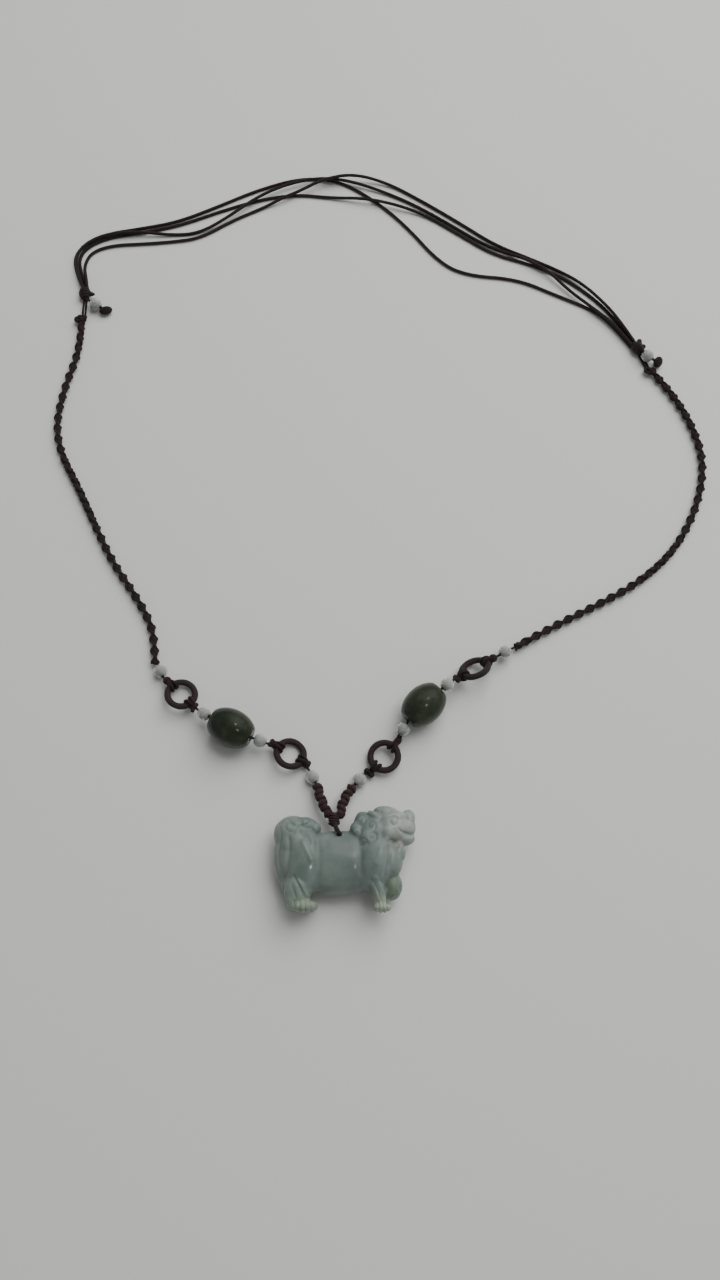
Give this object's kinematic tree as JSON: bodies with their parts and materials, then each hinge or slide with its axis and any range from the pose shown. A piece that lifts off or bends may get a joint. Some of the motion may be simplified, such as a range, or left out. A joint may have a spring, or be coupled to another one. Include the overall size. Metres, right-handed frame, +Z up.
{
  "type": "pendant necklace",
  "caption": "Adjustable knotted cord necklace with a carved jade qilin pendant, dark green barrel beads, small pale beads and cord-wrapped rings, laid flat in its wearing loop.",
  "frame": {"origin": "on the surface the necklace lies on, in the middle of the neck opening", "axes": "+Z up from the surface, +Y towards the back of the neck, -Y towards the pendant, +X towards the pendant animal's head; the necklace lies flat in its wearing loop"},
  "size_m": [0.2378, 0.2833, 0.0136],
  "materials": {
    "jade": "polished translucent pale blue-green jade",
    "white_bead": "polished translucent white jade",
    "green_bead": "polished dark green jade",
    "cord": "waxed dark brown cord"
  },
  "bodies": {
    "root": {"qilin_pendant": "jade", "hanging_loop": "cord", "centre_wrap": "cord", "left_knotted_arm": "cord", "left_white_bead_1": "white_bead", "left_white_bead_2": "white_bead", "left_white_bead_3": "white_bead", "left_white_bead_4": "white_bead", "left_inner_ring": "cord", "left_inner_ring_lower_hitch": "cord", "left_inner_ring_upper_hitch": "cord", "left_outer_ring": "cord", "left_outer_ring_lower_hitch": "cord", "left_outer_ring_upper_hitch": "cord", "left_barrel_bead": "green_bead", "left_thread_1": "cord", "left_thread_2": "cord", "left_thread_3": "cord", "left_braid": "cord", "left_braid_top_knot": "cord", "left_thin_cord_1": "cord", "left_thin_cord_2": "cord", "left_slider_knot": "cord", "left_tail": "cord", "left_end_bead": "white_bead", "left_end_knot": "cord", "right_knotted_arm": "cord", "right_white_bead_1": "white_bead", "right_white_bead_2": "white_bead", "right_white_bead_3": "white_bead", "right_white_bead_4": "white_bead", "right_inner_ring": "cord", "right_inner_ring_lower_hitch": "cord", "right_inner_ring_upper_hitch": "cord", "right_outer_ring": "cord", "right_outer_ring_lower_hitch": "cord", "right_outer_ring_upper_hitch": "cord", "right_barrel_bead": "green_bead", "right_thread_1": "cord", "right_thread_2": "cord", "right_thread_3": "cord", "right_braid": "cord", "right_braid_top_knot": "cord", "right_thin_cord_1": "cord", "right_thin_cord_2": "cord", "right_slider_knot": "cord", "right_tail": "cord", "right_end_bead": "white_bead", "right_end_knot": "cord", "neck_strand_1": "cord", "neck_strand_2": "cord", "neck_strand_3": "cord", "neck_strand_4": "cord"}
  },
  "joints": []
}
